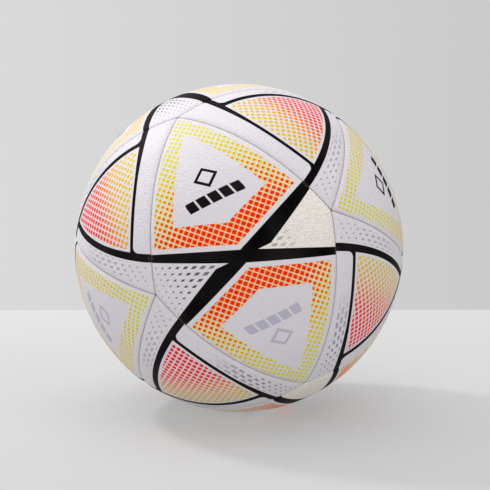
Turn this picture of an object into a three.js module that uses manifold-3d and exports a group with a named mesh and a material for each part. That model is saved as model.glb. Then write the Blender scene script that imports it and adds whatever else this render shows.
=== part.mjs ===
// Soccer ball, size 5: six rhombic and eight triangular cover panels on foam,
// a wound carcass, a rubber bladder and a needle valve. Millimetres, +Z up.
// The origin is the middle of the small flat that the ball rests on.
import * as THREE from 'three';
import * as BufferGeometryUtils from 'three/addons/utils/BufferGeometryUtils.js';
import Module from 'manifold-3d';

// How far the middle of the largest facet lies inside a sphere through the corners
function facetDip(radius, segments) {
  const facetAngle = THREE.MathUtils.degToRad(76) / segments;
  return radius * (1 - Math.cos(facetAngle / Math.sqrt(3)));
}

// Driving dimensions
const CIRCUMFERENCE = 690;            // size 5: 680 to 700 mm
const BALL_R = CIRCUMFERENCE / (2 * Math.PI);
const SHORT_HALF_ANGLE = THREE.MathUtils.degToRad(32.3); // rhombic panel: centre to short-end corner
const PANEL_SEGMENTS = 7;             // facets along one seam
const INNER_SEGMENTS = 5;             // the same on the carcass and the bladder
const FACET_RELIEF = 0.2;             // corners stand this far outside the true sphere, facets dip inside it

const COVER_T = 1.5;                  // PU skin with its textile backing
const FOAM_T = 3.0;
const CARCASS_T = 1.2;
const BLADDER_T = 1.0;
const LAYER_GAP = 0.3;                // clearance between bonded layers

const SEAM_HALF_GAP = 0.7;            // panel wall to the middle of the seam
const EDGE_ROUND_W = 1.1;             // width of the rolled panel edge
const EDGE_ROUND_H = 0.75;            // how far the rolled edge drops
const BEAD_T = 0.8;                   // adhesive bead, across the seam
const BEAD_TOP_DROP = 1.1;            // top of the bead below the ball's surface

const REST_FLAT_R = 11;               // radius of the flat that the ball rests on
const REST_PAD_ANGLE = THREE.MathUtils.degToRad(11); // true sphere round the flat, out to this angle
const VALVE_HOLE_R = 4.5;
const VALVE_NECK_R = 4.2;
const VALVE_FLANGE_R = 11;
const CORE_R = 2.5;
const CORE_HEAD_R = 3.1;
const CORE_CLEARANCE = 0.1;
const NEEDLE_HOLE_R = 0.8;
const VALVE_SIDES = 20;

// Attitude at rest: the facing panel leans back, is turned a little and is spun
const FACING_PITCH = THREE.MathUtils.degToRad(-4.3);
const FACING_YAW = THREE.MathUtils.degToRad(1.7);
const FACING_SPIN = THREE.MathUtils.degToRad(-64.5);

// Layer radii, outside to inside
const coverTop = BALL_R + FACET_RELIEF;
const coverBottom = coverTop - COVER_T;
const foamTop = coverBottom - LAYER_GAP;
const foamBottom = foamTop - FOAM_T;
const carcassTop = foamBottom - facetDip(foamBottom, PANEL_SEGMENTS) - LAYER_GAP;
const carcassBottom = carcassTop - CARCASS_T;
const bladderTop = carcassBottom - LAYER_GAP;
const bladderBottom = bladderTop - BLADDER_T;

const wasm = await Module();
wasm.setup();

const P = Math.sin(SHORT_HALF_ANGLE);
const Q = Math.cos(SHORT_HALF_ANGLE);
const AXES = ['x', 'y', 'z'];

function welded(geometry) {
  const bare = geometry.clone();
  bare.deleteAttribute('normal');
  bare.deleteAttribute('uv');
  return BufferGeometryUtils.mergeVertices(bare, 1e-4);
}

function toSolid(geometry) {
  const closed = welded(geometry);
  return new wasm.Manifold(new wasm.Mesh({
    numProp: 3,
    vertProperties: new Float32Array(closed.attributes.position.array),
    triVerts: new Uint32Array(closed.index.array),
  }));
}

function toGeometry(solid) {
  const mesh = solid.getMesh();
  const geometry = new THREE.BufferGeometry();
  geometry.setAttribute('position', new THREE.BufferAttribute(mesh.vertProperties, 3));
  geometry.setIndex(new THREE.BufferAttribute(mesh.triVerts, 1));
  const faceted = geometry.toNonIndexed();
  faceted.computeVertexNormals();
  return faceted;
}

// A unit corner from its size along three axes; the axes follow each other round (x, y, z)
function corner(axisIndex, along, next, afterNext) {
  const v = new THREE.Vector3();
  v[AXES[axisIndex]] = along;
  v[AXES[(axisIndex + 1) % 3]] = next;
  v[AXES[(axisIndex + 2) % 3]] = afterNext;
  return v;
}

// Rhombic panel on the + or - side of an axis: long ends along the next axis, short ends along the one after
function rhombicPanel(axisIndex, side) {
  const longEnd = (s) => corner(axisIndex, side * P, s * Q, 0);
  const shortEnd = (s) => corner(axisIndex, side * Q, 0, s * P);
  const centre = corner(axisIndex, side, 0, 0);
  const loop = [longEnd(1), shortEnd(side), longEnd(-1), shortEnd(-side)];
  return { centre, corners: loop, faces: [1, 2, 3, 1, 3, 0] };
}

// Triangular panel in one octant, its corners on the three coordinate planes
function triangularPanel(sx, sy, sz) {
  const loop = [
    new THREE.Vector3(0, sy * P, sz * Q),
    new THREE.Vector3(sx * Q, 0, sz * P),
    new THREE.Vector3(sx * P, sy * Q, 0),
  ];
  if (sx * sy * sz < 0) loop.reverse();
  return { centre: new THREE.Vector3(sx, sy, sz).normalize(), corners: loop, faces: [0, 1, 2] };
}

// Directions over a panel: its one or two spherical triangles, evenly subdivided
function panelPatch(panel) {
  const flat = panel.corners.flatMap((v) => [v.x, v.y, v.z]);
  const patch = welded(new THREE.PolyhedronGeometry(flat, panel.faces, 1, PANEL_SEGMENTS - 1));
  const directions = [];
  for (let i = 0; i < patch.attributes.position.count; i += 1) {
    directions.push(new THREE.Vector3().fromBufferAttribute(patch.attributes.position, i));
  }
  return { directions, index: Array.from(patch.index.array) };
}

// Edges that belong to one facet only, in the facet's own winding
function boundaryEdges(index) {
  const edges = new Map();
  for (let i = 0; i < index.length; i += 3) {
    for (let k = 0; k < 3; k += 1) {
      edges.set(`${index[i + k]},${index[i + (k + 1) % 3]}`, [index[i + k], index[i + (k + 1) % 3]]);
    }
  }
  return [...edges.values()].filter(([a, b]) => !edges.has(`${b},${a}`));
}

// Angle from a panel's centre to its seams, which is the same for all of them
function seamAngle(panel) {
  const normal = new THREE.Vector3().crossVectors(panel.corners[0], panel.corners[1]).normalize();
  return Math.asin(Math.abs(normal.dot(panel.centre)));
}

// A direction over the panel, drawn towards its centre so that its outline is inset from the seam
function setIn(panel, direction, inset) {
  const rho = seamAngle(panel);
  const shrink = Math.tan(rho - inset / BALL_R) / Math.tan(rho);
  const onPlane = direction.clone().divideScalar(direction.dot(panel.centre));
  return panel.centre.clone().lerp(onPlane, shrink);
}

// A curved plate: layers run from its outer face round the edge to its inner face,
// each with a radius and an inset from the seam
function plateGeometry(panel, layers) {
  const patch = panelPatch(panel);
  const positions = layers.flatMap(({ radius, inset }) => (
    patch.directions.flatMap((direction) => setIn(panel, direction, inset).setLength(radius).toArray())
  ));
  const count = patch.directions.length;
  const inner = (layers.length - 1) * count;
  const index = [...patch.index];
  for (let i = 0; i < patch.index.length; i += 3) {
    index.push(inner + patch.index[i + 2], inner + patch.index[i + 1], inner + patch.index[i]);
  }
  for (let layer = 0; layer < layers.length - 1; layer += 1) {
    const upper = layer * count;
    const lower = upper + count;
    for (const [a, b] of boundaryEdges(patch.index)) {
      index.push(upper + b, upper + a, lower + a, upper + b, lower + a, lower + b);
    }
  }
  return compact(positions, index);
}

// Keeps only the vertices in use
function compact(positions, index) {
  const geometry = new THREE.BufferGeometry();
  geometry.setAttribute('position', new THREE.Float32BufferAttribute(positions, 3));
  geometry.setIndex(index);
  return BufferGeometryUtils.mergeVertices(geometry.toNonIndexed(), 1e-4);
}

function coverPlate(panel) {
  return plateGeometry(panel, [
    { radius: coverTop, inset: SEAM_HALF_GAP + EDGE_ROUND_W },
    { radius: coverTop - 0.3 * EDGE_ROUND_H, inset: SEAM_HALF_GAP + 0.3 * EDGE_ROUND_W },
    { radius: coverTop - EDGE_ROUND_H, inset: SEAM_HALF_GAP },
    { radius: coverBottom, inset: SEAM_HALF_GAP },
  ]);
}

function foamPlate(panel) {
  return plateGeometry(panel, [
    { radius: foamTop, inset: SEAM_HALF_GAP },
    { radius: foamBottom, inset: SEAM_HALF_GAP },
  ]);
}

// All panels of the ball, with a name for each
const panels = [];
for (let axisIndex = 0; axisIndex < 3; axisIndex += 1) {
  for (const side of [1, -1]) {
    panels.push({ kind: 'rhombic', ...rhombicPanel(axisIndex, side) });
  }
}
for (const sz of [1, -1]) {
  for (const sy of [1, -1]) {
    for (const sx of [1, -1]) {
      panels.push({ kind: 'triangular', ...triangularPanel(sx, sy, sz) });
    }
  }
}
const restPanel = panels[0];
const counts = { rhombic: 0, triangular: 0 };
for (const panel of panels) {
  counts[panel.kind] += 1;
  panel.label = `${panel.kind}_${counts[panel.kind]}`;
}

// Closed faceted sphere, divided into the same spherical triangles as the panels
function layerSphere(radius) {
  const corners = [];
  const faces = [];
  for (const panel of panels) {
    const first = corners.length / 3;
    corners.push(...panel.corners.flatMap((v) => [v.x, v.y, v.z]));
    faces.push(...panel.faces.map((i) => first + i));
  }
  return toSolid(new THREE.PolyhedronGeometry(corners, faces, radius, INNER_SEGMENTS - 1));
}

// The valve sits in the middle of the rhombic panel opposite the facing one
const valvePanel = panels.find((panel) => panel.kind === 'rhombic' && panel.centre.z < -0.5);
const valveTurn = new THREE.Quaternion().setFromUnitVectors(new THREE.Vector3(0, 0, 1), valvePanel.centre);

function valveHole() {
  const drill = new THREE.CylinderGeometry(VALVE_HOLE_R, VALVE_HOLE_R, BALL_R * 1.2, VALVE_SIDES);
  drill.rotateX(Math.PI / 2);
  drill.translate(0, 0, BALL_R * 0.8);
  drill.applyQuaternion(valveTurn);
  return toSolid(drill);
}

// Attitude of the ball in the part's frame: the +Z panel of the ball ends up facing -Y
const attitude = new THREE.Quaternion()
  .setFromEuler(new THREE.Euler(Math.PI / 2 + FACING_PITCH, 0, FACING_YAW, 'ZXY'))
  .multiply(new THREE.Quaternion().setFromAxisAngle(new THREE.Vector3(0, 0, 1), FACING_SPIN));

// Height of the ball's centre when the pressed-in cap of REST_FLAT_R lies flat
const restHeight = Math.sqrt(BALL_R ** 2 - REST_FLAT_R ** 2);

// The cover round the flat, smooth instead of faceted, out to REST_PAD_ANGLE
function restPad() {
  const arc = (radius, angle) => new THREE.Vector2(radius * Math.sin(angle), -radius * Math.cos(angle));
  const flatAngle = Math.asin(REST_FLAT_R / BALL_R);
  const outerRing = (flatAngle + REST_PAD_ANGLE) / 2;
  const innerRadius = BALL_R - 0.7 * COVER_T;
  const pad = new THREE.LatheGeometry([
    new THREE.Vector2(0, -restHeight),
    arc(BALL_R, flatAngle),
    arc(BALL_R, outerRing),
    arc(BALL_R, REST_PAD_ANGLE),
    arc(innerRadius, REST_PAD_ANGLE),
    arc(innerRadius, outerRing),
    new THREE.Vector2(0, -innerRadius),
  ], VALVE_SIDES);
  pad.rotateX(Math.PI / 2);
  pad.applyQuaternion(attitude.clone().invert());
  return toSolid(pad);
}

// Everything below the resting plane, in the ball's own frame
function floorBlock() {
  const block = new THREE.BoxGeometry(2 * BALL_R, 2 * BALL_R, BALL_R);
  block.translate(0, 0, -restHeight - BALL_R / 2);
  block.applyQuaternion(attitude.clone().invert());
  return toSolid(block);
}

// Adhesive standing in every seam, one network: its walls follow the panels' outlines,
// and it is closed above and below along the seams and where they meet
function seamBead() {
  const top = BALL_R - BEAD_TOP_DROP;
  const bottom = foamBottom + LAYER_GAP;
  const points = [];
  const seamEdges = new Map();
  const meetings = new Map();
  const nameOf = (v) => v.toArray().map((c) => Math.round(c * 1000) + 0).join();
  const at = (v, radius) => v.clone().setLength(radius);
  const closeQuad = (a, b, c, d) => {
    points.push(...[a, b, c, a, c, d].map((v) => at(v, top)));
    points.push(...[c, b, a, d, c, a].map((v) => at(v, bottom)));
  };
  for (const panel of panels) {
    const patch = panelPatch(panel);
    for (const [i, j] of boundaryEdges(patch.index)) {
      const names = [nameOf(patch.directions[i]), nameOf(patch.directions[j])];
      const a = setIn(panel, patch.directions[i], BEAD_T / 2);
      const b = setIn(panel, patch.directions[j], BEAD_T / 2);
      points.push(at(a, top), at(b, top), at(b, bottom), at(a, top), at(b, bottom), at(a, bottom));
      const facing = seamEdges.get(`${names[1]}|${names[0]}`);
      if (facing) closeQuad(a, facing[1], facing[0], b);
      seamEdges.set(`${names[0]}|${names[1]}`, [a, b]);
    }
    for (const v of panel.corners) {
      const name = nameOf(v);
      meetings.set(name, [...(meetings.get(name) ?? []), { vertex: v, point: setIn(panel, v, BEAD_T / 2) }]);
    }
  }
  for (const meeting of meetings.values()) {
    closeQuad(...inTurn(meeting));
  }
  return BufferGeometryUtils.mergeVertices(new THREE.BufferGeometry().setFromPoints(points), 1e-3);
}

// The points round a corner, anticlockwise as seen from outside
function inTurn(meeting) {
  const { vertex } = meeting[0];
  const east = new THREE.Vector3().crossVectors(vertex, meeting[0].point).normalize();
  const north = new THREE.Vector3().crossVectors(vertex, east);
  const bearing = (v) => Math.atan2(v.dot(north), v.dot(east));
  return meeting.map(({ point }) => point).sort((a, b) => bearing(a) - bearing(b));
}

function lathe(points) {
  const profile = points.map(([r, z]) => new THREE.Vector2(r, z));
  const solid = new THREE.LatheGeometry([...profile, profile[0]], VALVE_SIDES);
  solid.rotateX(Math.PI / 2);
  solid.applyQuaternion(valveTurn);
  return welded(solid);
}

const valveMouth = BALL_R - 0.5;
const coreHeadBottom = valveMouth - 1.8;
const flangeTop = bladderBottom - facetDip(bladderBottom, INNER_SEGMENTS) - LAYER_GAP;
const coreBottom = flangeTop - 3;

function valveHousing() {
  const boreR = CORE_R + CORE_CLEARANCE;
  const recessR = CORE_HEAD_R + CORE_CLEARANCE;
  return lathe([
    [boreR, coreBottom],
    [VALVE_NECK_R + 1.5, coreBottom],
    [VALVE_NECK_R + 1.8, flangeTop - 1.6],
    [VALVE_FLANGE_R, flangeTop - 1.8],
    [VALVE_FLANGE_R, flangeTop - 0.8],
    [VALVE_NECK_R, flangeTop],
    [VALVE_NECK_R, valveMouth - 0.4],
    [VALVE_NECK_R - 0.4, valveMouth],
    [recessR, valveMouth],
    [recessR, coreHeadBottom],
    [boreR, coreHeadBottom],
  ]);
}

function valveCore() {
  return lathe([
    [NEEDLE_HOLE_R, coreBottom],
    [CORE_R - 0.5, coreBottom],
    [CORE_R, coreBottom + 1],
    [CORE_R, coreHeadBottom + LAYER_GAP],
    [CORE_HEAD_R, coreHeadBottom + LAYER_GAP],
    [CORE_HEAD_R, valveMouth - 0.5],
    [CORE_HEAD_R - 0.3, valveMouth - 0.2],
    [NEEDLE_HOLE_R + 0.5, valveMouth - 0.2],
    [NEEDLE_HOLE_R, valveMouth - 0.7],
  ]);
}

const materials = {
  skin: new THREE.MeshStandardMaterial({ color: 0xe6e2ea, roughness: 0.35, metalness: 0 }),
  foam: new THREE.MeshStandardMaterial({ color: 0xd9d4c4, roughness: 0.95, metalness: 0 }),
  carcass: new THREE.MeshStandardMaterial({ color: 0xc9bfa2, roughness: 0.9, metalness: 0 }),
  butyl: new THREE.MeshStandardMaterial({ color: 0x1d1d1f, roughness: 0.6, metalness: 0 }),
  silicone: new THREE.MeshStandardMaterial({ color: 0x2b2b2e, roughness: 0.5, metalness: 0 }),
  adhesive: new THREE.MeshStandardMaterial({ color: 0xcdbfa6, roughness: 0.55, metalness: 0 }),
};

const ball = new THREE.Group();
ball.quaternion.copy(attitude);
ball.position.z = restHeight;

function addPiece(name, geometry, material) {
  const mesh = new THREE.Mesh(geometry, material);
  mesh.name = name;
  ball.add(mesh);
}

for (const panel of panels) {
  let cover = toSolid(coverPlate(panel));
  let foam = toSolid(foamPlate(panel));
  if (panel === valvePanel) {
    cover = cover.subtract(valveHole());
    foam = foam.subtract(valveHole());
  }
  if (panel === restPanel) cover = cover.add(restPad()).subtract(floorBlock());
  addPiece(`cover_${panel.label}`, toGeometry(cover), materials.skin);
  addPiece(`foam_${panel.label}`, toGeometry(foam), materials.foam);
}
addPiece('seam_adhesive', seamBead(), materials.adhesive);

function hollowLayer(outer, inner) {
  return toGeometry(layerSphere(outer).subtract(layerSphere(inner)).subtract(valveHole()));
}

addPiece('carcass', hollowLayer(carcassTop, carcassBottom), materials.carcass);
addPiece('bladder', hollowLayer(bladderTop, bladderBottom), materials.butyl);
addPiece('valve_housing', valveHousing(), materials.butyl);
addPiece('valve_core', valveCore(), materials.silicone);

const part = new THREE.Group();
part.add(ball);

export default part;
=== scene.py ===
"""Soccer ball: six rhombic and eight triangular printed panels bonded over foam and a wound carcass.

The ball's centre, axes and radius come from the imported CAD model. Lengths are metres; the print on
the panels is laid out in millimetres on each panel's tangent plane, where every seam is straight.
"""

import math

import bmesh
import bpy
import numpy as np
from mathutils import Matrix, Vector


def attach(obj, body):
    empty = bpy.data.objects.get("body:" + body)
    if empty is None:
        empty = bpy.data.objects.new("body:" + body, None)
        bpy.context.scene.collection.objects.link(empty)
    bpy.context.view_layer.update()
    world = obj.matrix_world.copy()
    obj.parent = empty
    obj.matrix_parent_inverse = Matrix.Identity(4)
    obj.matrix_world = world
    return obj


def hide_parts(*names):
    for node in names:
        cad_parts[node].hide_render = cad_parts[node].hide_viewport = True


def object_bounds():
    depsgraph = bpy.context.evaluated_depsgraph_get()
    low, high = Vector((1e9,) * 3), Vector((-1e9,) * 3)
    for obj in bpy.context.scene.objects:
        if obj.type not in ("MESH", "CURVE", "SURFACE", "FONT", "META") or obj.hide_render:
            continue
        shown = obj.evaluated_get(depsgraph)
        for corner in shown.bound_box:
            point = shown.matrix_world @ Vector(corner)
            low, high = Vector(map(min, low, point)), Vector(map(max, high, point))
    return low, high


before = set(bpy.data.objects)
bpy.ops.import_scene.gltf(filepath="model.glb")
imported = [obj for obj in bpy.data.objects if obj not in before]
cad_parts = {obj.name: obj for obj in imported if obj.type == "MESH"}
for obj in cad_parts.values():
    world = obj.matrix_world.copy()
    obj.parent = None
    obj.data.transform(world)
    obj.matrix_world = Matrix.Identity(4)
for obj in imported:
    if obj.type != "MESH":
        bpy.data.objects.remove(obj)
cad_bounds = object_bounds()

MM = 0.001


# ---------------------------------------------------------------- what the frame says

def node_points(name):
    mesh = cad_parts[name].data
    points = np.zeros(len(mesh.vertices) * 3)
    mesh.vertices.foreach_get("co", points)
    return points.reshape(-1, 3)


def node_middle(name):
    return node_points(name).mean(axis=0)


def unit(v):
    v = np.asarray(v, float)
    return v / np.linalg.norm(v)


# The foam plates lie opposite each other in pairs, on the ball's own three axes
plate = {i: node_middle(f"foam_rhombic_{i}") for i in range(1, 7)}
CENTRE = (plate[3] + plate[4]) / 2
BALL_Y = unit(plate[3] - plate[4])
BALL_X = plate[1] - plate[2]
BALL_X = unit(BALL_X - BALL_X @ BALL_Y * BALL_Y)
BALL_AXES = np.array([BALL_X, BALL_Y, np.cross(BALL_X, BALL_Y)])

ball_high = np.array(cad_bounds[1])
RADIUS = min(ball_high[2] - CENTRE[2], ball_high[0], ball_high[1]) - 0.02 * MM
R_MM = RADIUS / MM

# ---------------------------------------------------------------- driving dimensions

SHORT_HALF_ANGLE = math.radians(32.3)   # rhombic panel: centre to short-end corner
COVER_T = 1.35 * MM
POINTS_PER_SIDE = 80                    # along one seam
RINGS = 40                              # from a panel's middle to where its edge begins to roll
EDGE_ROLL = (                           # inset from the seam and drop below the sphere, mm
    (5.5, 0.0), (4.2, 0.03), (3.1, 0.11), (2.3, 0.23), (1.6, 0.40), (1.1, 0.58), (0.65, 0.78), (0.30, 1.0),
    (0.03, 1.2),
)
UNDERSIDE_INSET = 0.3                   # mm, of the inner face from the seam
UNDERSIDE_RINGS = 8
BEAD_HALF_WIDTH = 0.2 * MM
BEAD_FOOT_DROP = 1.32                   # mm below the sphere, as are the next two
BEAD_PROFILE = (                        # place across, in half widths, and drop
    (-1.25, BEAD_FOOT_DROP), (-1.0, 1.25), (-0.5, 1.18), (0, 1.15), (0.5, 1.18), (1.0, 1.25),
    (1.25, BEAD_FOOT_DROP),
)
MEETING_DOME = ((1.4, BEAD_FOOT_DROP), (1.2, 1.2), (0.7, 1.1))  # radius of each loop, mm, and drop
MEETING_DOME_TOP = 1.05                 # mm, drop
SEAM_STEPS = 120                        # along one seam
MEETING_STEPS = 24                      # round one meeting of seams
VALVE_PANEL = "rhombic_6"
VALVE_HOLE_R = 4.5 * MM
VALVE_NECK_R = 4.2 * MM
VALVE_FLANGE_R = 11 * MM
CORE_R = 2.5 * MM
CORE_HEAD_R = 3.1 * MM
CORE_CLEARANCE = 0.1 * MM
NEEDLE_HOLE_R = 0.8 * MM
PLUG_SUNK = 0.2 * MM                    # top of the plug below the housing's mouth
PLUG_HEAD_DEPTH = 1.8 * MM
PLUG_HEAD_GAP = 0.3 * MM                # under the plug's head

FRONT_PRINT_OFFSET = (-1.3, -1.0)       # mm, the front panel's print against its outline
OTHER_PRINT_OFFSET = (0.6, -0.5)

# Bearing on each triangular panel's chart, in degrees, along which its dots run from yellow to red;
# the four panels at the back repeat the four in front
FILL_DIRECTIONS = {
    "triangular_1": 215.4, "triangular_2": -21.3, "triangular_3": 92.7, "triangular_4": -6.3,
    "triangular_5": 92.7, "triangular_6": 215.4, "triangular_7": -6.3, "triangular_8": -21.3,
}
BLANK_STRIPS = ("triangular_2", "triangular_4", "triangular_5", "triangular_7")
# Side panels whose rings of dots start smaller, and so paler: painted glare, the washed-out look of grazing
# light
GLARE_PALED_RINGS = ("rhombic_2", "rhombic_3", "rhombic_4")
TURNED_MARKS = ("rhombic_1", "rhombic_3")


# ---------------------------------------------------------------- panels

P, Q = math.sin(SHORT_HALF_ANGLE), math.cos(SHORT_HALF_ANGLE)


def along(axis, value, following=0.0, last=0.0):
    """A direction in the ball's axes, from its size along an axis and along the two that follow it."""
    v = np.zeros(3)
    v[axis], v[(axis + 1) % 3], v[(axis + 2) % 3] = value, following, last
    return v


def rhombic_panel(axis, side):
    corners = [along(axis, side * P, Q), along(axis, side * Q, 0, side * P),
               along(axis, side * P, -Q), along(axis, side * Q, 0, -side * P)]
    return {"kind": "rhombic", "centre": along(axis, side), "corners": corners,
            "right": along(axis, 0, 0, side), "up": along(axis, 0, -1)}


def triangular_panel(sx, sy, sz):
    corners = [np.array([0, sy * P, sz * Q]), np.array([sx * Q, 0, sz * P]), np.array([sx * P, sy * Q, 0])]
    hand = sx * sy * sz
    if hand < 0:
        corners.reverse()
    centre = unit([sx, sy, sz])
    top = np.array([0, sy * P, sz * Q])
    up = unit(top - top @ centre * centre)
    return {"kind": "triangular", "centre": centre, "corners": corners,
            "right": hand * np.cross(up, centre), "up": up}


def all_panels():
    found = [rhombic_panel(axis, side) for axis in range(3) for side in (1, -1)]
    found += [triangular_panel(sx, sy, sz) for sz in (1, -1) for sy in (1, -1) for sx in (1, -1)]
    counts = {"rhombic": 0, "triangular": 0}
    for panel in found:
        counts[panel["kind"]] += 1
        panel["label"] = f"{panel['kind']}_{counts[panel['kind']]}"
        normal = unit(np.cross(panel["corners"][0], panel["corners"][1]))
        panel["seam_angle"] = math.asin(abs(normal @ panel["centre"]))
    return found


def arc(a, b, count):
    """Directions from a towards b along a great circle, b left out."""
    angle = math.acos(a @ b)
    t = np.arange(count)[:, None] / count
    return (np.sin((1 - t) * angle) * a + np.sin(t * angle) * b) / math.sin(angle)


def outline(panel):
    """Directions round a panel along its seams, with its corners a little rounded."""
    corners = panel["corners"]
    loop = np.vstack([arc(a, b, POINTS_PER_SIDE) for a, b in zip(corners, corners[1:] + corners[:1])])
    eased = np.roll(loop, 1, axis=0) + 2 * loop + np.roll(loop, -1, axis=0)
    return eased / (eased @ panel["centre"])[:, None]


def shrink(panel, inset_mm):
    """Scale about the panel's middle, on its tangent plane, that sets its outline in from the seams."""
    rho = panel["seam_angle"]
    return math.tan(rho - inset_mm / R_MM) / math.tan(rho)


def on_shell(points, depth):
    return points / np.linalg.norm(points, axis=1)[:, None] * (RADIUS - depth)


def panel_rings(panel):
    """Loops of points from the middle of the outer face, over the rolled edge and back under it."""
    rim = outline(panel)
    centre = panel["centre"]
    inner_edge = shrink(panel, EDGE_ROLL[0][0])
    under = shrink(panel, UNDERSIDE_INSET)
    inwards = range(UNDERSIDE_RINGS, 0, -1)
    if panel["label"] == VALVE_PANEL:
        outwards = (rim - centre) / np.linalg.norm(rim - centre, axis=1)[:, None]
        hole = centre + outwards * VALVE_HOLE_R / RADIUS
        lip = (
            (1.0, COVER_T), (1.0, 0.55 * MM), (1.03, 0.3 * MM), (1.08, 0.12 * MM), (1.16, 0.03 * MM),
            (1.3, 0.0),
        )
        rings = [on_shell(centre + (hole - centre) * s, drop) for s, drop in lip]
        first = centre + (hole - centre) * lip[-1][0]
        edge = centre + (rim - centre) * inner_edge
        rings += [on_shell(first + (edge - first) * k / RINGS, 0) for k in range(1, RINGS)]
        back_edge = centre + (rim - centre) * under
        backs = [hole + (back_edge - hole) * k / UNDERSIDE_RINGS for k in inwards]
    else:
        rings = [on_shell(centre + (rim - centre) * inner_edge * k / RINGS, 0) for k in range(1, RINGS)]
        backs = [centre + (rim - centre) * under * k / UNDERSIDE_RINGS for k in inwards]
    for inset, drop in EDGE_ROLL:
        rings.append(on_shell(centre + (rim - centre) * shrink(panel, inset), drop * MM))
    return rings + [on_shell(back, COVER_T) for back in backs]


def ring_faces(ring_count, size, closed):
    """Quads between successive rings, and between the last and the first if closed."""
    faces = []
    for k in range(ring_count if closed else ring_count - 1):
        a, b = k * size, (k + 1) % ring_count * size
        faces += [(a + j, b + j, b + (j + 1) % size, a + (j + 1) % size) for j in range(size)]
    return faces


def to_row(points):
    """From the ball's axes to the row frame."""
    return points @ BALL_AXES + CENTRE


def new_object(name, points, faces, smooth=True):
    mesh = bpy.data.meshes.new(name)
    mesh.from_pydata([tuple(p) for p in points], [], faces)
    build = bmesh.new()
    build.from_mesh(mesh)
    bmesh.ops.recalc_face_normals(build, faces=build.faces)
    build.to_mesh(mesh)
    build.free()
    mesh.polygons.foreach_set("use_smooth", [smooth] * len(mesh.polygons))
    mesh.update()
    obj = bpy.data.objects.new(name, mesh)
    bpy.context.scene.collection.objects.link(obj)
    return obj


def store(mesh, name, values):
    """A vector for every vertex, which a material reads by name."""
    attribute = mesh.attributes.new(name, "FLOAT_VECTOR", "POINT")
    attribute.data.foreach_set("vector", np.asarray(values, np.float32).ravel())


def chart(panel, directions):
    """Tangent-plane coordinates in mm, with distance from the nearest seam as the third."""
    flat = directions / (directions @ panel["centre"])[:, None] * R_MM
    corners = panel["corners"]
    normals = np.array([unit(np.cross(a, b)) for a, b in zip(corners, corners[1:] + corners[:1])])
    from_seam = np.arcsin(np.abs(directions @ normals.T).min(axis=1).clip(0, 1)) * R_MM
    return np.column_stack([flat @ panel["right"], flat @ panel["up"], from_seam])


def screen(panel, directions, turn):
    """Coordinates in mm that keep true distance from the panel's middle, turned by an angle.
    The third is 1 where a triangle's second strip is left plain, or on a side panel whose dots are
    printed smaller as painted glare, with 2 added where a rhombic panel's two marks change places."""
    x, y = directions @ panel["right"], directions @ panel["up"]
    away = np.hypot(x, y) + 1e-12
    reach = np.arctan2(away, directions @ panel["centre"]) * R_MM / away
    c, s = math.cos(turn), math.sin(turn)
    flag = (panel["label"] in BLANK_STRIPS + GLARE_PALED_RINGS) + 2.0 * (panel["label"] in TURNED_MARKS)
    return np.column_stack([(c * x + s * y) * reach, (c * y - s * x) * reach, np.full(len(x), flag)])


def build_panel(panel, material):
    rings = panel_rings(panel)
    size = len(rings[0])
    points = np.vstack(rings)
    closed = panel["label"] == VALVE_PANEL
    faces = ring_faces(len(rings), size, closed)
    if not closed:
        top, bottom = len(points), len(points) + 1
        points = np.vstack([points, panel["centre"] * RADIUS, panel["centre"] * (RADIUS - COVER_T)])
        last = (len(rings) - 1) * size
        faces += [(top, j, (j + 1) % size) for j in range(size)]
        faces += [(bottom, last + (j + 1) % size, last + j) for j in range(size)]
    directions = points / np.linalg.norm(points, axis=1)[:, None]
    placed = to_row(points)
    placed[:, 2] = placed[:, 2].clip(0)
    obj = new_object(f"panel_{panel['label']}", placed, faces)
    laid = chart(panel, directions)
    if panel["kind"] == "rhombic":
        laid[:, :2] -= FRONT_PRINT_OFFSET if panel["label"] == "rhombic_5" else OTHER_PRINT_OFFSET
        turn = 0
    else:
        turn = math.radians(FILL_DIRECTIONS[panel["label"]])
    store(obj.data, "chart", laid)
    store(obj.data, "screen", screen(panel, directions, turn))
    obj.data.materials.append(material)
    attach(obj, "ball")
    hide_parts(f"cover_{panel['label']}")


# ---------------------------------------------------------------- node arithmetic

class Value:
    """A node's output that takes part in arithmetic."""

    def __init__(self, graph, socket):
        self.graph = graph
        self.socket = socket

    def __add__(self, other):
        return self.graph.math("ADD", self, other)

    def __sub__(self, other):
        return self.graph.math("SUBTRACT", self, other)

    def __mul__(self, other):
        return self.graph.math("MULTIPLY", self, other)

    def __rsub__(self, other):
        return self.graph.math("SUBTRACT", other, self)

    def __neg__(self):
        return self * -1

    __radd__ = __add__
    __rmul__ = __mul__


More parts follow.
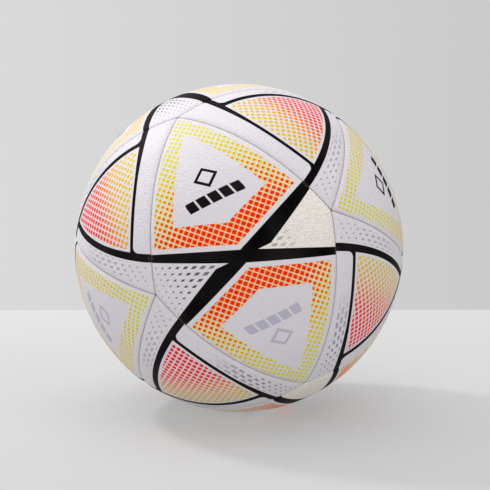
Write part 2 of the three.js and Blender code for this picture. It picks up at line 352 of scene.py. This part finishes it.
class Graph:
    """The nodes of a new material, given its name, or of a node tree."""

    def __init__(self, owner):
        if isinstance(owner, str):
            self.material = bpy.data.materials.new(owner)
            self.material.use_nodes = True
            owner = self.material.node_tree
        self.tree = owner
        self.tree.nodes.clear()

    def node(self, kind, inputs=None, **settings):
        made = self.tree.nodes.new(kind)
        for key, value in settings.items():
            setattr(made, key, value)
        for key, value in (inputs or {}).items():
            self.plug(made.inputs[key], value)
        return made

    def plug(self, socket, value):
        if isinstance(value, Value):
            self.tree.links.new(value.socket, socket)
        elif hasattr(value, "__len__") and len(value) == 3 and socket.type == "RGBA":
            socket.default_value = (*value, 1)
        else:
            socket.default_value = value

    def math(self, operation, *values, clamp=False):
        made = self.node("ShaderNodeMath", operation=operation, use_clamp=clamp)
        for socket, value in zip(made.inputs, values):
            self.plug(socket, value)
        return Value(self, made.outputs[0])

    def least(self, first, *others):
        for other in others:
            first = self.math("MINIMUM", first, other)
        return first

    def most(self, first, *others):
        for other in others:
            first = self.math("MAXIMUM", first, other)
        return first

    def size(self, value):
        return self.math("ABSOLUTE", value)

    def nearest(self, value):
        return self.math("ROUND", value)

    def inside(self, distance, blur=0.12):
        """1 where a signed distance is positive, fading over blur."""
        return self.math("MULTIPLY_ADD", distance, 1 / blur, 0.5, clamp=True)

    def between(self, value, start, end, low=0.0, high=1.0):
        """value taken from the range start..end to low..high, and no further."""
        made = self.node("ShaderNodeMapRange", {"Value": value, "From Min": start, "From Max": end,
                                                "To Min": low, "To Max": high})
        return Value(self, made.outputs[0])

    def mix(self, factor, a, b):
        """From colour a to colour b."""
        made = self.node("ShaderNodeMix", data_type="RGBA")
        self.plug(made.inputs[0], factor)
        self.plug(made.inputs[6], a)
        self.plug(made.inputs[7], b)
        return Value(self, made.outputs[2])

    def ramp(self, factor, stops):
        made = self.node("ShaderNodeValToRGB", {"Fac": factor})
        elements = made.color_ramp.elements
        while len(elements) < len(stops):
            elements.new(0.5)
        for element, (position, colour) in zip(elements, stops):
            element.position = position
            element.color = (*colour, 1)
        return Value(self, made.outputs["Color"])

    def attribute(self, name):
        made = self.node("ShaderNodeAttribute", attribute_name=name)
        return Value(self, made.outputs["Vector"])

    def parts(self, vector):
        made = self.node("ShaderNodeSeparateXYZ", {0: vector})
        return [Value(self, output) for output in made.outputs]

    def vector(self, x, y, z=0.0):
        made = self.node("ShaderNodeCombineXYZ", {0: x, 1: y, 2: z})
        return Value(self, made.outputs[0])

    def noise(self, vector, scale, detail=2.0, roughness=0.5):
        made = self.node("ShaderNodeTexNoise", {"Vector": vector, "Scale": scale, "Detail": detail,
                                                "Roughness": roughness})
        return Value(self, made.outputs[0])

    def cells(self, vector, scale):
        made = self.node("ShaderNodeTexVoronoi", {"Vector": vector, "Scale": scale})
        return Value(self, made.outputs["Distance"])

    def wave(self, vector, scale, distortion=0.0, direction="X"):
        made = self.node("ShaderNodeTexWave", {"Vector": vector, "Scale": scale, "Distortion": distortion},
                         bands_direction=direction)
        return Value(self, made.outputs["Fac"])

    def place(self):
        """The point's place in the object's own axes, in millimetres."""
        where = self.node("ShaderNodeTexCoord")
        metres = Value(self, where.outputs["Object"])
        scaled = self.node("ShaderNodeVectorMath", {0: metres}, operation="SCALE")
        scaled.inputs["Scale"].default_value = 1 / MM
        return Value(self, scaled.outputs[0])

    def stretched(self, vector, share):
        """The same place with its third axis drawn out, so that a noise on it runs in streaks."""
        x, y, z = self.parts(vector)
        return self.vector(x, y, z * share)

    def finish(self, height, **inputs):
        """A Principled surface with a bump whose height is in millimetres."""
        bump = self.node("ShaderNodeBump", {"Height": height, "Distance": MM})
        shader = self.node("ShaderNodeBsdfPrincipled", {"Normal": Value(self, bump.outputs[0])})
        for key, value in inputs.items():
            self.plug(shader.inputs[key.replace("_", " ")], value)
        out = self.node("ShaderNodeOutputMaterial")
        self.tree.links.new(shader.outputs[0], out.inputs["Surface"])
        return self.material


def srgb(r, g, b):
    """Scene-linear colour of 0..255 display values."""
    def linear(c):
        c /= 255
        return c / 12.92 if c <= 0.04045 else ((c + 0.055) / 1.055) ** 2.4
    return linear(r), linear(g), linear(b)


# ---------------------------------------------------------------- print and skin

WHITE = srgb(224, 220, 226)
PEARL = srgb(250, 244, 238)
INK = srgb(3, 2, 4)
PALE_INK = srgb(190, 186, 202)
SEAM_TINT = srgb(170, 158, 145)
EMBOSS_PITCH = 2.6                      # mm, as are all lengths in the print
PEBBLES_PER_MM = 0.62
BAND_HALF_WIDTH = 4.15                  # of the black bands at their crossing on a rhombic panel
BAND_SLOPE = 0.405                      # of a black band's edge
SEAM_SLOPE = 2.506                      # of a rhombic panel's seams on its chart
RING_START, RING_END = 7.6, 63.9        # outer outline of a ring, from the crossing and along the seam side
HOLE_START, HOLE_END = 21.8, 47         # the same for the white inside it
DOT_PITCH = 4.75
DOT_ROWS_START = 9.1
KITE_START = 9.7
KITE_MARKS_START = 24.7
KITE_MARK_LENGTH, KITE_MARK_WIDTH = 5.35, 4.3
ROW_OF_BLOCKS_AT = 46                   # from the crossing to the pale row of blocks
BLOCK_PERIOD = 8
LINE_ARC_R = 218                        # radius of a triangular panel's black lines
LINE_ARC_CENTRE = 191.1                 # from the panel's middle to each line's centre
STRIP_CORNER_R = 4
FIELD_PITCH = 3.45
STRIP_MARK_PITCH = 6.8


def lattice(g, a, b):
    """Cell numbers of a two-way lattice and the place inside the cell, -0.5..0.5."""
    ia, ib = g.nearest(a), g.nearest(b)
    return ia, ib, a - ia, b - ib


def skin(g, printed, ink, pearl=0.0):
    """The panel's surface: printed colour on embossed polyurethane, creased and soiled along the seam.
    Pale specks on the black ink near the seam are painted glints.
    """
    _, _, from_seam = g.parts(g.attribute("chart"))
    place = g.place()
    at_seam = g.between(from_seam, 0.1, 0.8, 0.4, 0) * (1 - ink)
    soiling = g.noise(place, 0.03, 3)
    colour = g.mix(at_seam, printed, SEAM_TINT)
    # Painted glints: pale grey specks on the black ink near the seam, standing in for light caught by creases
    painted_glints = g.between(g.noise(place, 1.2, 3, 0.6), 0.6, 0.7) * g.between(from_seam, 0.4, 3.5, 0.8, 0) * ink
    colour = g.mix(painted_glints, colour, srgb(150, 146, 152))
    colour = g.mix(g.between(soiling, 0.35, 0.75, 0, 0.05), colour, srgb(150, 140, 135))

    # Embossed diamonds, uneven, over pebbling and a fine grain
    u, v, _ = g.parts(g.attribute("screen"))
    drift = g.noise(place, 0.25, 2) * 3
    rising = g.math("SINE", (u * 0.94 + v * 0.34 + drift) * (2 * math.pi / EMBOSS_PITCH))
    falling = g.math("SINE", (u * 0.5 - v * 0.87 - drift) * (2 * math.pi / EMBOSS_PITCH))
    pebbles = g.cells(place, PEBBLES_PER_MM)
    grain = g.noise(place, 2.2, 3, 0.6)
    near_seam = g.between(from_seam, 0.5, 7, 1, 0)
    creases = g.noise(g.stretched(place, 0.5), 1.3, 3, 0.65) * near_seam
    embossing = rising * falling * 0.045 - pebbles * 0.28
    relief = embossing + embossing * pearl + grain * 0.06 + creases * 0.2 - ink * 0.03
    sheen = g.noise(place, 0.5, 2)
    rough = g.between(sheen, 0.3, 0.7, 0.44, 0.56)
    return g.finish(relief, Base_Color=colour, Roughness=rough, Coat_Weight=1 - ink * 0.85,
                    Coat_IOR=1.2, Coat_Roughness=0.5, Specular_IOR_Level=0.01)


def rhombic_print():
    """Black bands crossing in the middle, two white halves with rings of dots, two small kites."""
    g = Graph("print_rhombic")
    x, y, _ = g.parts(g.attribute("chart"))
    wide, tall = g.size(x), g.size(y)
    side = g.math("SIGN", y)

    # White fields between the bands
    field = tall - BAND_HALF_WIDTH - wide * BAND_SLOPE
    level = y * g.math("SIGN", x) * -1
    kite = g.least((wide - KITE_START) * 0.45 - level, g.most(level, level + (wide - 18) * 0.49))
    white = g.inside(g.most(field, kite), 0.2)

    # Ring of dots round each half
    seam_side = tall * (-1 / SEAM_SLOPE) - wide
    outer = g.least(tall - RING_START - wide * BAND_SLOPE, seam_side + RING_END)
    hole = g.least(tall - HOLE_START - wide * BAND_SLOPE, seam_side + HOLE_END)
    ring = g.inside(g.least(outer, -hole), 0.3)

    sx, sy, flag = g.parts(g.attribute("screen"))
    su, sv = sx * side, sy * side
    changed = g.inside(flag - 1.5, 0.5)
    # pale is 1 on the side panels whose dots are shrunk as painted glare
    pale = flag - changed * 2

    def dots(u, v, near, far, glare_shrink, at_sides):
        """Cover of a diamond screen whose dots shrink away from the middle, and their distance from it."""
        down = (v - DOT_ROWS_START) * (1 / DOT_PITCH)
        over = u * (1 / DOT_PITCH)
        ia, ib, fa, fb = lattice(g, over + down, over - down)
        reach = (ia - ib) * (DOT_PITCH / 2) + DOT_ROWS_START
        half = g.between(reach, near[0], far[0], near[1] - pale * glare_shrink, far[1])
        spread = g.size(ia + ib) * (DOT_PITCH / 2)
        half = half - g.between(spread, 26, 50, 0, at_sides)
        fa, fb = g.size(fa), g.size(fb)
        square = g.most(fa, fb)
        round_ = g.math("SQRT", fa * fa + fb * fb)
        blend = g.between(reach, 20, 60, 0.12, 0.8)
        return g.inside(half - (square + (round_ - square) * blend), 0.09), reach

    # The last but one argument shrinks the dots on the side panels: painted glare
    red, reach = dots(su, sv, (25, 0.395), (80, -0.02), 0.26, 0.11)
    yellow, _ = dots(su - side * 0.3, sv + side * 0.3, (20, 0.46), (80, 0.35), 0.09, 0.03)
    yellow_ink = g.ramp(g.between(reach, 10, 90), [(0.0, srgb(238, 198, 0)), (0.4, srgb(232, 208, 0)),
                                                   (1.0, srgb(222, 216, 0))])
    red_ink = g.ramp(g.between(reach, 20, 75), [(0.0, srgb(255, 8, 0)), (0.5, srgb(255, 52, 0)),
                                                (1.0, srgb(255, 130, 0))])
    printed = g.mix(ring * yellow, WHITE, yellow_ink)
    printed = g.mix(ring * red, printed, red_ink)

    # A row of blocks and an open diamond in each half, black in one and pale in the other
    dark = g.inside(y * (1 - changed * 2), 1.0)
    from_row = tall - ROW_OF_BLOCKS_AT + dark * 5
    step = (x + from_row * side * 0.25) * (1 / BLOCK_PERIOD)
    from_block = g.size(step - g.nearest(step)) * BLOCK_PERIOD
    block = g.least(19.7 - wide, 3.9 - g.size(from_row), 3.3 - from_block)
    beyond = from_row - 16.5
    diamond = 1.5 - g.size(wide + g.size(beyond) - 7.5)
    emblem = g.inside(g.most(block, diamond), 0.3)
    printed = g.mix(emblem, printed, g.mix(dark, PALE_INK, INK))

    # One kite is pearl, the other carries small grey marks
    p, q = (wide - KITE_MARKS_START) * (1 / KITE_MARK_LENGTH), level * (1 / KITE_MARK_WIDTH)
    ia, ib, fa, fb = lattice(g, p * 0.5 + q, p * 0.5 - q)
    along_kite = (ia + ib) * KITE_MARK_LENGTH + KITE_MARKS_START
    half = g.between(along_kite, 25, 60, 0.27, 0.075)
    mark = g.inside(half - g.most(g.size(fa), g.size(fb)), 0.05)
    clear = g.inside(g.least(kite - 1.5, 64 - wide), 0.3)
    grey = g.between(along_kite, 24, 34, 0.8, 1)
    left = g.inside(-x, 1.0)
    in_kite = g.inside(kite, 0.2)
    printed = g.mix(mark * clear * left * grey, printed, srgb(78, 74, 82))
    pearl = g.mix(g.between(g.cells(g.place(), PEBBLES_PER_MM), 0.1, 0.7), PEARL, srgb(238, 231, 223))
    printed = g.mix(in_kite * (1 - left), printed, pearl)
    faint = g.between(wide, 20, 36, 0.6, 0.0)
    printed = g.mix(mark * clear * (1 - left) * faint, printed, srgb(90, 86, 92))

    ink = 1 - white
    printed = g.mix(ink, printed, INK)
    return skin(g, printed, g.most(ink, emblem * dark), in_kite * (1 - left))


def triangular_print():
    """Three black lines turn round a field of dots, and shut off a white strip along each seam."""
    g = Graph("print_triangular")
    x, y, from_seam = g.parts(g.attribute("chart"))
    lines = []
    for k in range(3):
        bearing = math.radians(213.4 + 120 * k)
        from_x = x - LINE_ARC_CENTRE * math.cos(bearing)
        from_y = y - LINE_ARC_CENTRE * math.sin(bearing)
        heading = math.radians(-56.6 + 120 * k)
        distance = g.math("SQRT", from_x * from_x + from_y * from_y) - LINE_ARC_R
        along_line = x * math.cos(heading) + y * math.sin(heading)
        half_width = g.between(along_line, -56, -12, 3.0, (2.2, 1.3, 2.2)[k])
        lines.append((distance, along_line, half_width))

    field = g.least(*[-distance - half_width for distance, _, half_width in lines])
    strips = []
    for k in range(3):
        distance, _, half_width = lines[k]
        ending, _, ending_width = lines[k - 1]
        a = g.most(STRIP_CORNER_R - (distance - half_width), 0)
        b = g.most(STRIP_CORNER_R + ending + ending_width, 0)
        strips.append(STRIP_CORNER_R - g.math("SQRT", a * a + b * b))
    white = g.inside(g.most(field, *strips), 0.2)

    # Field of round dots, yellow to crimson along the screen's first axis
    u, v, blank = g.parts(g.attribute("screen"))
    slant = math.radians(42)
    c, d = math.cos(slant) / FIELD_PITCH, math.sin(slant) / FIELD_PITCH
    ia, ib, fa, fb = lattice(g, u * c + v * d, v * c - u * d)
    reach = (ia * math.cos(slant) - ib * math.sin(slant)) * FIELD_PITCH
    fa, fb = g.size(fa), g.size(fb)
    square = g.most(fa, fb)
    round_ = g.math("SQRT", fa * fa + fb * fb)
    radius = g.between(reach, -20, 8, 0.35, 0.385)
    dot = g.inside(radius - (square + (round_ - square) * 0.6), 0.1)
    dot_ink = g.ramp(g.between(reach, -26, 34), [
        (0.1, srgb(226, 194, 0)), (0.28, srgb(240, 178, 0)), (0.42, srgb(246, 130, 0)),
        (0.58, srgb(250, 56, 0)), (0.78, srgb(252, 14, 10)), (1.0, srgb(244, 20, 44))])
    printed = g.mix(g.inside(field - 1.8, 0.3) * dot, WHITE, dot_ink)

    # Grey marks along each strip
    first, second, _ = strips
    in_first, in_second = g.inside(first, 0.05), g.inside(second, 0.05)

    def of_this_strip(entry):
        """A line's distance (0) or place along it (1), for the line beside the strip at hand."""
        first_line, second_line, third_line = (line[entry] for line in lines)
        return third_line + (first_line - third_line) * in_first + (second_line - third_line) * in_second

    from_line, along_strip = of_this_strip(0), of_this_strip(1)
    a, b = along_strip * (1 / STRIP_MARK_PITCH), from_line * (1 / STRIP_MARK_PITCH)
    ia, ib, fa, fb = lattice(g, a + b, a - b)
    where = (ia + ib) * (STRIP_MARK_PITCH / 2)
    big = g.between(where, -46, 4, 0.0, 1.0)
    length = g.size(fa + fb) * (STRIP_MARK_PITCH / 2)
    breadth = g.size(fa - fb) * (STRIP_MARK_PITCH / 2)
    mark = g.inside(g.least(0.75 + big * 2.0 - length, 0.5 + big * 0.75 - breadth), 0.25)
    clear = g.inside(g.least(g.most(*strips) - 1.2, from_line - 2.2, from_seam - 3.5), 0.3)
    clear = clear * (1 - in_second * blank)
    strength = in_second * 0.35 + 0.65
    fade = g.between(where, -4, 14, 1, 0)
    grey = g.mix(big, srgb(98, 94, 104), srgb(190, 185, 197))
    printed = g.mix(mark * clear * fade * strength, printed, grey)

    ink = 1 - white
    printed = g.mix(ink, printed, INK)
    return skin(g, printed, ink)


# ---------------------------------------------------------------- plain materials

def rubber_material(name, tone, rough):
    g = Graph(name)
    place = g.place()
    mottle = g.noise(place, 0.8, 3)
    colour = g.mix(mottle, tone, tuple(c * 1.5 + 0.004 for c in tone))
    relief = g.noise(place, 5, 2) * 0.02 + g.noise(place, 0.9, 2) * 0.05
    worn = g.between(mottle, 0.2, 0.8, rough - 0.08, rough + 0.1)
    return g.finish(relief, Base_Color=colour, Roughness=worn, Specular_IOR_Level=0.4)


def adhesive_material():
    g = Graph("seam_adhesive")
    place = g.place()
    mottle = g.noise(place, 0.5, 3)
    colour = g.ramp(mottle, [(0.3, srgb(108, 101, 92)), (0.7, srgb(138, 130, 119))])
    relief = g.noise(place, 2.5, 2) * 0.08
    return g.finish(relief, Base_Color=colour, Roughness=g.between(mottle, 0.3, 0.7, 0.45, 0.6))


def foam_material():
    g = Graph("foam")
    place = g.place()
    bubbles = g.cells(place, 1.6)
    colour = g.mix(bubbles, srgb(196, 190, 172), srgb(226, 221, 206))
    return g.finish(bubbles * 0.2, Base_Color=colour, Roughness=g.between(bubbles, 0, 1, 0.85, 0.98))


def carcass_material():
    g = Graph("wound_carcass")
    place = g.place()
    threads = g.wave(place, 1.1, 6.0) * 0.5 + g.wave(place, 1.1, 6.0, "Y") * 0.5
    colour = g.mix(threads, srgb(172, 158, 124), srgb(216, 206, 176))
    return g.finish(threads * 0.3, Base_Color=colour, Roughness=g.between(threads, 0, 1, 0.95, 0.75))


# ---------------------------------------------------------------- seams and valve

def seam_ribbon(a, b, first):
    """Points and faces of the bead along the seam from a to b, the points numbered from first."""
    across = unit(np.cross(a, b))
    spine = np.vstack([arc(a, b, SEAM_STEPS), b])
    points = [direction * (RADIUS - drop * MM) + across * side * BEAD_HALF_WIDTH
              for direction in spine for side, drop in BEAD_PROFILE]
    width = len(BEAD_PROFILE)
    last = first + (len(spine) - 1) * width
    faces = []
    for row in range(first, last, width):
        for j in range(width):
            p, q = row + j, row + (j + 1) % width
            faces.append((p, q, q + width, p + width))
    faces.append(tuple(range(first, first + width))[::-1])
    faces.append(tuple(range(last, last + width)))
    return points, faces


def meeting_dome(corner, first):
    """Points and faces of the low dome where four seams meet, the points numbered from first."""
    east = unit(np.cross(corner, (0.3, 0.5, 0.8)))
    north = np.cross(corner, east)
    points = []
    for dome_radius, drop in MEETING_DOME:
        for j in range(MEETING_STEPS):
            turn = 2 * math.pi * j / MEETING_STEPS
            sideways = (east * math.cos(turn) + north * math.sin(turn)) * dome_radius * MM
            points.append(corner * (RADIUS - drop * MM) + sideways)
    top = first + len(points)
    points.append(corner * (RADIUS - MEETING_DOME_TOP * MM))
    last_loop = top - MEETING_STEPS
    faces = []
    for loop in range(first, last_loop, MEETING_STEPS):
        for j in range(MEETING_STEPS):
            p, q = loop + j, loop + (j + 1) % MEETING_STEPS
            faces.append((p, q, q + MEETING_STEPS, p + MEETING_STEPS))
    faces += [(last_loop + j, last_loop + (j + 1) % MEETING_STEPS, top) for j in range(MEETING_STEPS)]
    faces.append(tuple(range(first, first + MEETING_STEPS))[::-1])
    return points, faces


def seam_bead(panels, material):
    """Adhesive in every seam, one ribbon a seam, with a low dome where four of them meet."""
    def key(corner):
        return tuple(np.round(corner, 6) + 0.0)

    seams, meetings = {}, {}
    for panel in panels:
        corners = panel["corners"]
        for a, b in zip(corners, corners[1:] + corners[:1]):
            meetings[key(a)] = a
            seams.setdefault(tuple(sorted((key(a), key(b)))), (a, b))
    points, faces = [], []
    for a, b in seams.values():
        more_points, more_faces = seam_ribbon(a, b, len(points))
        points += more_points
        faces += more_faces
    for corner in meetings.values():
        more_points, more_faces = meeting_dome(corner, len(points))
        points += more_points
        faces += more_faces
    placed = to_row(np.array(points))
    placed[:, 2] = placed[:, 2].clip(0)
    bead = new_object("seam_bead", placed, faces)
    bead.data.materials.append(material)
    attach(bead, "ball")
    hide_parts("seam_adhesive")


def turned(name, profile, node, body, material, steps=72):
    """A piece turned about the valve's axis, from a closed profile of radius and distance from the centre."""
    axis = unit(-BALL_AXES[2])
    east = unit(np.cross(axis, (0, 0, 1)))
    north = np.cross(axis, east)
    points = []
    for radius, height in profile:
        for j in range(steps):
            turn = 2 * math.pi * j / steps
            points.append(CENTRE + axis * height + (east * math.cos(turn) + north * math.sin(turn)) * radius)
    obj = new_object(name, np.array(points), ring_faces(len(profile), steps, True))
    obj.data.materials.append(material)
    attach(obj, body)
    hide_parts(node)


def rounded(profile, radius):
    """A closed profile with each corner cut by two points, so that it turns smoothly."""
    out = []
    pts = [np.array(p, float) for p in profile]
    for k, p in enumerate(pts):
        before, after = pts[k - 1], pts[(k + 1) % len(pts)]
        reach_in = min(radius, np.linalg.norm(before - p) * 0.4)
        reach_out = min(radius, np.linalg.norm(after - p) * 0.4)
        start = p + unit(before - p) * reach_in
        end = p + unit(after - p) * reach_out
        for t in (0, 0.33, 0.67, 1):
            out.append((1 - t) ** 2 * start + 2 * t * (1 - t) * p + t ** 2 * end)
    return out


def build_valve(black, grey):
    axis = -BALL_AXES[2]
    reach = (node_points("valve_core") - CENTRE) @ axis
    bottom, top = reach.min(), reach.max()
    mouth = top + PLUG_SUNK
    head_bottom = mouth - PLUG_HEAD_DEPTH
    housing_reach = (node_points("valve_housing") - CENTRE) @ axis
    flange_top = bottom + 3 * MM
    assert abs(housing_reach.min() - bottom) < 0.5 * MM
    housing = [
        (CORE_R + CORE_CLEARANCE, bottom), (VALVE_NECK_R + 1.5 * MM, bottom),
        (VALVE_NECK_R + 1.8 * MM, flange_top - 1.6 * MM), (VALVE_FLANGE_R, flange_top - 1.8 * MM),
        (VALVE_FLANGE_R, flange_top - 0.8 * MM), (VALVE_NECK_R, flange_top), (VALVE_NECK_R, mouth),
        (CORE_HEAD_R + CORE_CLEARANCE, mouth), (CORE_HEAD_R + CORE_CLEARANCE, head_bottom),
        (CORE_R + CORE_CLEARANCE, head_bottom),
    ]
    head_underside = head_bottom + PLUG_HEAD_GAP
    core = [
        (NEEDLE_HOLE_R, bottom), (CORE_R - 0.5 * MM, bottom), (CORE_R, bottom + MM),
        (CORE_R, head_underside), (CORE_HEAD_R, head_underside), (CORE_HEAD_R, top),
        (NEEDLE_HOLE_R + 0.5 * MM, top), (NEEDLE_HOLE_R, top - 0.6 * MM),
    ]
    turned("valve_collar", rounded(housing, 0.35 * MM), "valve_housing", "ball", black)
    turned("valve_plug", rounded(core, 0.3 * MM), "valve_core", "valve_core", grey)


panels = all_panels()
prints = {"rhombic": rhombic_print(), "triangular": triangular_print()}
for panel in panels:
    build_panel(panel, prints[panel["kind"]])
seam_bead(panels, adhesive_material())
black_rubber = rubber_material("black_rubber", srgb(28, 28, 30), 0.5)
build_valve(black_rubber, rubber_material("grey_silicone", srgb(46, 46, 50), 0.45))

foam = foam_material()
inner_layers = {name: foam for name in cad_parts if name.startswith("foam_")}
inner_layers.update(carcass=carcass_material(), bladder=black_rubber)
for name, material in inner_layers.items():
    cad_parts[name].data.materials.clear()
    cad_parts[name].data.materials.append(material)


# ---------------------------------------------------------------- floor, backdrop, light and camera

BACKDROP_LEFT = srgb(218, 218, 218)
BACKDROP_RIGHT = srgb(203, 203, 203)
FLOOR_END = 0.42                        # back edge of the floor; the backdrop shows behind and below it
ROOM_STRENGTH = 0.92
FLOOR_REACH = 30.0                      # to the front and to each side
FLOOR_GLOW = 0.84                       # the floor's own glow, painted light that keeps shadows on it pale
CAMERA_ELEVATION = math.radians(6.0)
CAMERA_AWAY = 7.148 * RADIUS
CAMERA_LENS = 85.3                      # mm, on a 36 mm sensor
CAMERA_SHIFT = (0.0122, 0.0061)
CAMERA_SIDE = np.array([0, -math.cos(CAMERA_ELEVATION), math.sin(CAMERA_ELEVATION)])
CAMERA_PLACE = CENTRE + CAMERA_SIDE * CAMERA_AWAY

# Name, direction from the ball, distance, size and power in watts
LAMPS = (
    ("key", (-0.60, 0.34, 0.72), 2.2, 0.3, 18.6),
    ("overhead", (-0.1, 0.0, 1.0), 3.0, 3.0, 37),
    ("right_fill", (0.8, -0.5, 0.35), 3.0, 1.5, 9),
    ("front_fill", (-0.2, -0.85, 0.45), 3.0, 1.5, 13),
)


def backdrop_colour(g, direction):
    """Pale grey, a little brighter on the left, by a unit direction from the middle of the studio."""
    x, _, _ = g.parts(direction)
    return g.mix(g.between(x, -0.2, 0.2), BACKDROP_LEFT, BACKDROP_RIGHT)


def build_floor():
    """A matt floor, half of its light its own glow, painted light that keeps shadows on it pale; it ends at
    its back edge.
    """
    g = Graph("floor")
    place = g.place()
    _, y, _ = g.parts(place)
    cloud = g.noise(place, 0.004, 2)
    colour = g.mix(g.between(y, -450, 420), srgb(208, 208, 208), srgb(226, 226, 226))
    colour = g.mix(cloud * 0.2, colour, srgb(198, 198, 198))
    bump = g.node("ShaderNodeBump", {"Height": g.noise(place, 0.6, 2) * 0.05, "Distance": MM})
    matt = g.node("ShaderNodeBsdfPrincipled", {"Base Color": colour, "Normal": Value(g, bump.outputs[0]),
                                               "Roughness": g.between(cloud, 0.2, 0.8, 0.6, 0.75)})
    # The glow is painted light: it lifts the floor's shadows
    glow = g.node("ShaderNodeEmission", {"Color": colour, "Strength": FLOOR_GLOW})
    lit = g.node("ShaderNodeMixShader", {0: 0.5})
    g.tree.links.new(matt.outputs[0], lit.inputs[1])
    g.tree.links.new(glow.outputs[0], lit.inputs[2])
    out = g.node("ShaderNodeOutputMaterial")
    g.tree.links.new(lit.outputs[0], out.inputs["Surface"])
    corners = [(-FLOOR_REACH, -FLOOR_REACH, 0), (FLOOR_REACH, -FLOOR_REACH, 0),
               (FLOOR_REACH, FLOOR_END, 0), (-FLOOR_REACH, FLOOR_END, 0)]
    floor = new_object("floor", corners, [(0, 1, 2, 3)], smooth=False)
    floor.data.materials.append(g.material)


def add_light(name, direction, distance, size, power):
    data = bpy.data.lights.new(name, "AREA")
    data.shape = "DISK"
    data.size = size
    data.energy = power
    lamp = bpy.data.objects.new(name, data)
    bpy.context.scene.collection.objects.link(lamp)
    towards = Vector(direction).normalized()
    lamp.location = Vector(CENTRE) + towards * distance
    lamp.visible_camera = False
    lamp.rotation_euler = towards.to_track_quat("Z", "Y").to_euler()


def build_world():
    """A pale backdrop on the +Y side, and a dimmer room round the rest."""
    world = bpy.data.worlds.new("studio")
    bpy.context.scene.world = world
    world.use_nodes = True
    g = Graph(world.node_tree)
    direction = Value(g, g.node("ShaderNodeTexCoord").outputs["Generated"])
    _, y, _ = g.parts(direction)
    strength = g.between(y, 0.80, 0.90, ROOM_STRENGTH, 1)
    colour = backdrop_colour(g, direction)
    background = g.node("ShaderNodeBackground", {"Color": colour, "Strength": strength})
    out = g.node("ShaderNodeOutputWorld")
    g.tree.links.new(background.outputs[0], out.inputs["Surface"])


def build_camera():
    data = bpy.data.cameras.new("camera")
    data.lens = CAMERA_LENS
    data.sensor_width = 36
    data.shift_x, data.shift_y = CAMERA_SHIFT
    camera = bpy.data.objects.new("camera", data)
    bpy.context.scene.collection.objects.link(camera)
    camera.location = CAMERA_PLACE
    camera.rotation_euler = Vector(CAMERA_PLACE - CENTRE).to_track_quat("Z", "Y").to_euler()
    bpy.context.scene.camera = camera


build_floor()
for lamp_settings in LAMPS:
    add_light(*lamp_settings)
build_world()
bpy.context.scene.view_settings.view_transform = "Standard"
build_camera()
